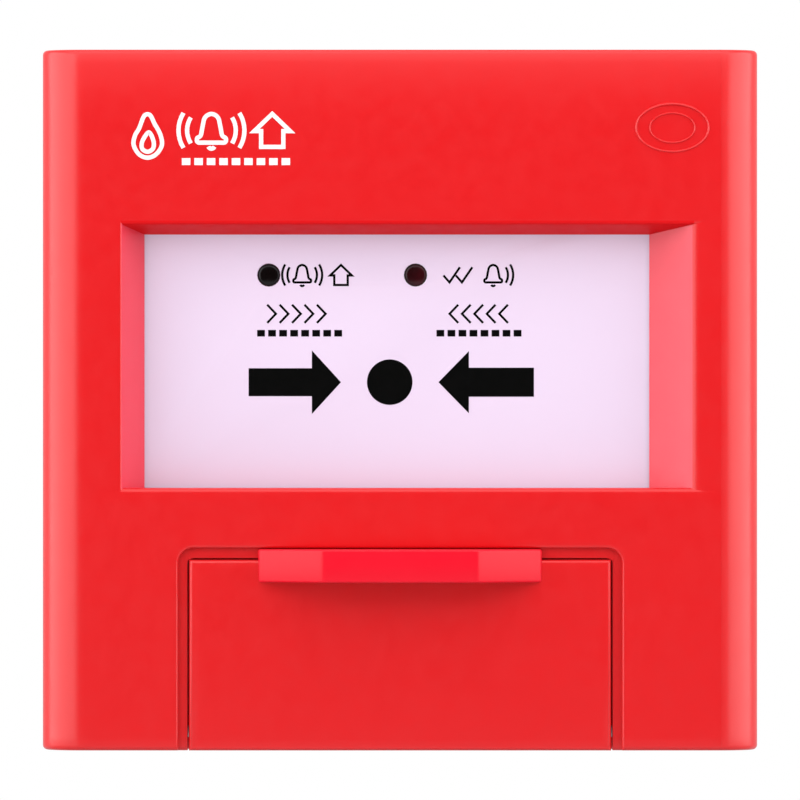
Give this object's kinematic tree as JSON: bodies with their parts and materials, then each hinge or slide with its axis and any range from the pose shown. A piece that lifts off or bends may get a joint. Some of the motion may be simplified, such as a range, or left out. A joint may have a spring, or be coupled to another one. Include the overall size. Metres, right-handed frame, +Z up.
{
  "type": "manual call point",
  "caption": "Wall-mounted manual call point with a recessed press plate, two indicator lamps and a hinged service door over a telephone jack and a reset key barrel.",
  "frame": {"origin": "centre of the wall face, on the wall plane", "axes": "+Z up, +Y into the wall, -Y out of the front, +X to the right seen from the front"},
  "size_m": [0.092, 0.0423, 0.09],
  "materials": {
    "red_cover": "satin",
    "white_plate": "satin",
    "smoked_lens": "gloss",
    "black_plastic": "matte",
    "red_lamp": "gloss",
    "green_lamp": "gloss",
    "board_green": "satin",
    "terminal_grey": "matte",
    "relay_blue": "matte",
    "steel": "zinc plated",
    "spring_steel": "bright",
    "brass": "bright"
  },
  "bodies": {
    "housing": {"front_cover": "red_cover", "mounting_base": "red_cover", "cover_lock_screw": "steel", "plate_pivot_pin": "steel", "plate_spring_left": "spring_steel", "plate_spring_right": "spring_steel", "latch_spring": "spring_steel", "latch_spring_screw": "steel", "phone_jack_body": "black_plastic", "phone_jack_contact": "brass", "phone_jack_washer": "steel", "phone_jack_nut": "steel", "door_hinge_pin": "steel", "micro_switch_body": "black_plastic", "circuit_board": "board_green", "start_led": "red_lamp", "reply_led": "green_lamp", "start_led_spacer": "black_plastic", "reply_led_spacer": "black_plastic", "controller_chip": "black_plastic", "output_relay": "relay_blue", "capacitor_1": "black_plastic", "capacitor_2": "black_plastic", "plug_header_left": "black_plastic", "plug_header_right": "black_plastic", "terminal_block_left": "terminal_grey", "terminal_block_right": "terminal_grey", "board_screw_1": "steel", "board_screw_2": "steel", "board_screw_3": "steel", "board_screw_4": "steel", "terminal_screw_1": "brass", "terminal_screw_2": "brass", "terminal_screw_3": "brass", "terminal_screw_4": "brass", "terminal_screw_5": "brass", "terminal_screw_6": "brass"},
    "press_plate": {"press_plate": "white_plate", "start_led_lens": "smoked_lens", "reply_led_lens": "smoked_lens"},
    "switch_lever": {"switch_lever": "spring_steel"},
    "switch_plunger": {"switch_plunger": "red_lamp"},
    "service_door": {"service_door": "red_cover"},
    "reset_cam": {"reset_key_barrel": "steel", "reset_cam_lobe": "black_plastic", "cam_retaining_clip": "spring_steel"}
  },
  "joints": [
    {"name": "press_plate_tilt", "type": "hinge", "parent": "housing", "child": "press_plate", "pos_m": [0, -0.0286, 0.0242], "axis": [1, 0, 0], "range_deg": [0, 4.5], "stiffness_Nm_per_rad": 0.3, "springref_deg": -8.59, "deforming": ["plate_spring_left", "plate_spring_right", "latch_spring"]},
    {"name": "switch_lever_swing", "type": "hinge", "parent": "housing", "child": "switch_lever", "pos_m": [-0.0105, -0.023, -0.0038], "axis": [0, 0, 1], "range_deg": [0, 8.2]},
    {"name": "switch_plunger_travel", "type": "slide", "parent": "housing", "child": "switch_plunger", "axis": [0, 1, 0], "range_m": [0, 0.0008]},
    {"name": "service_door_swing", "type": "hinge", "parent": "housing", "child": "service_door", "pos_m": [0, -0.0332, -0.0426], "axis": [1, 0, 0], "range_deg": [0, 100]},
    {"name": "reset_cam_turn", "type": "hinge", "parent": "housing", "child": "reset_cam", "pos_m": [0.014, -0.0226, -0.033], "axis": [0, 1, 0], "range_deg": [0, 90]}
  ],
  "couplings": [
    {"joint": "switch_lever_swing", "follows": "press_plate_tilt", "ratio": 1.8},
    {"joint": "switch_plunger_travel", "follows": "press_plate_tilt", "m_per_rad": 0.0099}
  ]
}
